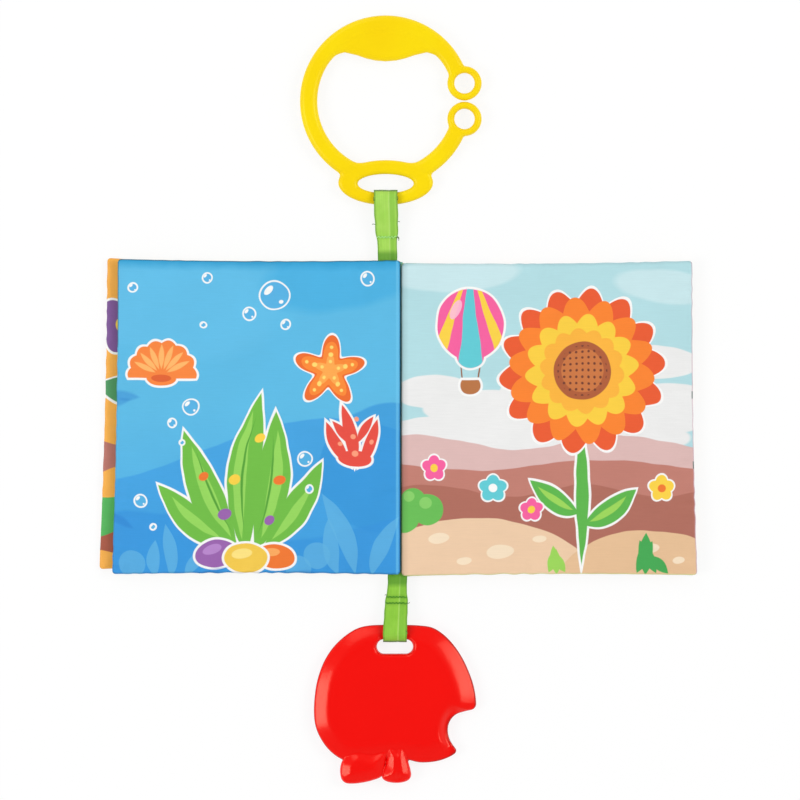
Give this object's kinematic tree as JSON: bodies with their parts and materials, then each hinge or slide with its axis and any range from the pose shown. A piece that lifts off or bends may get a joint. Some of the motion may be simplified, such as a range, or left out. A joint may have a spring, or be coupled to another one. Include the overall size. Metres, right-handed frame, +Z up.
{
  "type": "crinkle cloth book",
  "caption": "Soft padded cloth book lying open, with leaves that turn, a hang ring on a ribbon at the head and an apple teether on a ribbon at the foot.",
  "frame": {"origin": "middle of the spine, on the flat underside of its outer cloth", "axes": "+Y along the spine towards the hang ring, +X to the right page, +Z up out of the open pages"},
  "size_m": [0.2845, 0.3662, 0.0097],
  "materials": {
    "blue_page_cloth": "printed woven polyester, soft sheen",
    "aqua_page_cloth": "printed woven polyester, soft sheen",
    "inner_page_cloth": "printed woven polyester, soft sheen",
    "cover_cloth": "printed woven polyester, soft sheen",
    "spine_cloth": "woven polyester, soft sheen",
    "gutter_cloth": "woven polyester in shade",
    "wadding": "loose polyester fibre",
    "crinkle_film": "crumpled clear film",
    "green_ribbon": "ribbed grosgrain",
    "thread": "twisted polyester thread",
    "yellow_plastic": "satin moulded plastic",
    "red_plastic": "glossy moulded plastic"
  },
  "bodies": {
    "spine": {"spine_outer_cloth": "spine_cloth", "spine_inner_cloth": "gutter_cloth", "spine_stitching": "thread", "head_ribbon_sewn_end": "green_ribbon", "foot_ribbon_sewn_end": "green_ribbon"},
    "cover_front": {"cover_front_upper_cloth": "cover_cloth", "cover_front_lower_cloth": "cover_cloth", "cover_front_crinkle_film": "crinkle_film", "cover_front_wadding": "wadding"},
    "page_left": {"page_left_upper_cloth": "blue_page_cloth", "page_left_lower_cloth": "inner_page_cloth", "page_left_crinkle_film": "crinkle_film", "page_left_wadding": "wadding"},
    "page_right": {"page_right_upper_cloth": "aqua_page_cloth", "page_right_lower_cloth": "inner_page_cloth", "page_right_crinkle_film": "crinkle_film", "page_right_wadding": "wadding"},
    "cover_back": {"cover_back_upper_cloth": "cover_cloth", "cover_back_lower_cloth": "cover_cloth", "cover_back_crinkle_film": "crinkle_film", "cover_back_wadding": "wadding"},
    "head_ribbon": {"head_ribbon_loop": "green_ribbon", "head_ribbon_stitch": "thread"},
    "hang_ring": {"hang_ring": "yellow_plastic"},
    "foot_ribbon": {"foot_ribbon_loop": "green_ribbon", "foot_ribbon_stitch_1": "thread", "foot_ribbon_stitch_2": "thread"},
    "teether": {"apple_teether": "red_plastic"}
  },
  "joints": [
    {"name": "cover_front_turn", "type": "hinge", "parent": "spine", "child": "cover_front", "pos_m": [0, 0, 0.00845], "axis": [0, 1, 0], "range_deg": [0, 180]},
    {"name": "page_left_turn", "type": "hinge", "parent": "cover_front", "child": "page_left", "pos_m": [0, 0, 0.00845], "axis": [0, 1, 0], "range_deg": [0, 180]},
    {"name": "cover_back_turn", "type": "hinge", "parent": "spine", "child": "cover_back", "pos_m": [0, 0, 0.00845], "axis": [0, -1, 0], "range_deg": [0, 180]},
    {"name": "page_right_turn", "type": "hinge", "parent": "cover_back", "child": "page_right", "pos_m": [0, 0, 0.00845], "axis": [0, -1, 0], "range_deg": [0, 180]},
    {"name": "head_ribbon_bend", "type": "hinge", "parent": "spine", "child": "head_ribbon", "pos_m": [-0.0064, 0.07705, 0.00462], "axis": [1, 0, 0], "range_deg": [-90, 90]},
    {"name": "hang_ring_swing", "type": "hinge", "parent": "head_ribbon", "child": "hang_ring", "pos_m": [-0.0073, 0.10385, 0.00462], "axis": [1, 0, 0], "range_deg": [-75, 75]},
    {"name": "foot_ribbon_bend", "type": "hinge", "parent": "spine", "child": "foot_ribbon", "pos_m": [-0.0017, -0.0785, 0.00491], "axis": [-1, 0, 0], "range_deg": [-90, 90]},
    {"name": "teether_swing", "type": "hinge", "parent": "foot_ribbon", "child": "teether", "pos_m": [-0.0029, -0.1026, 0.00491], "axis": [-1, 0, 0], "range_deg": [-85, 85]}
  ]
}
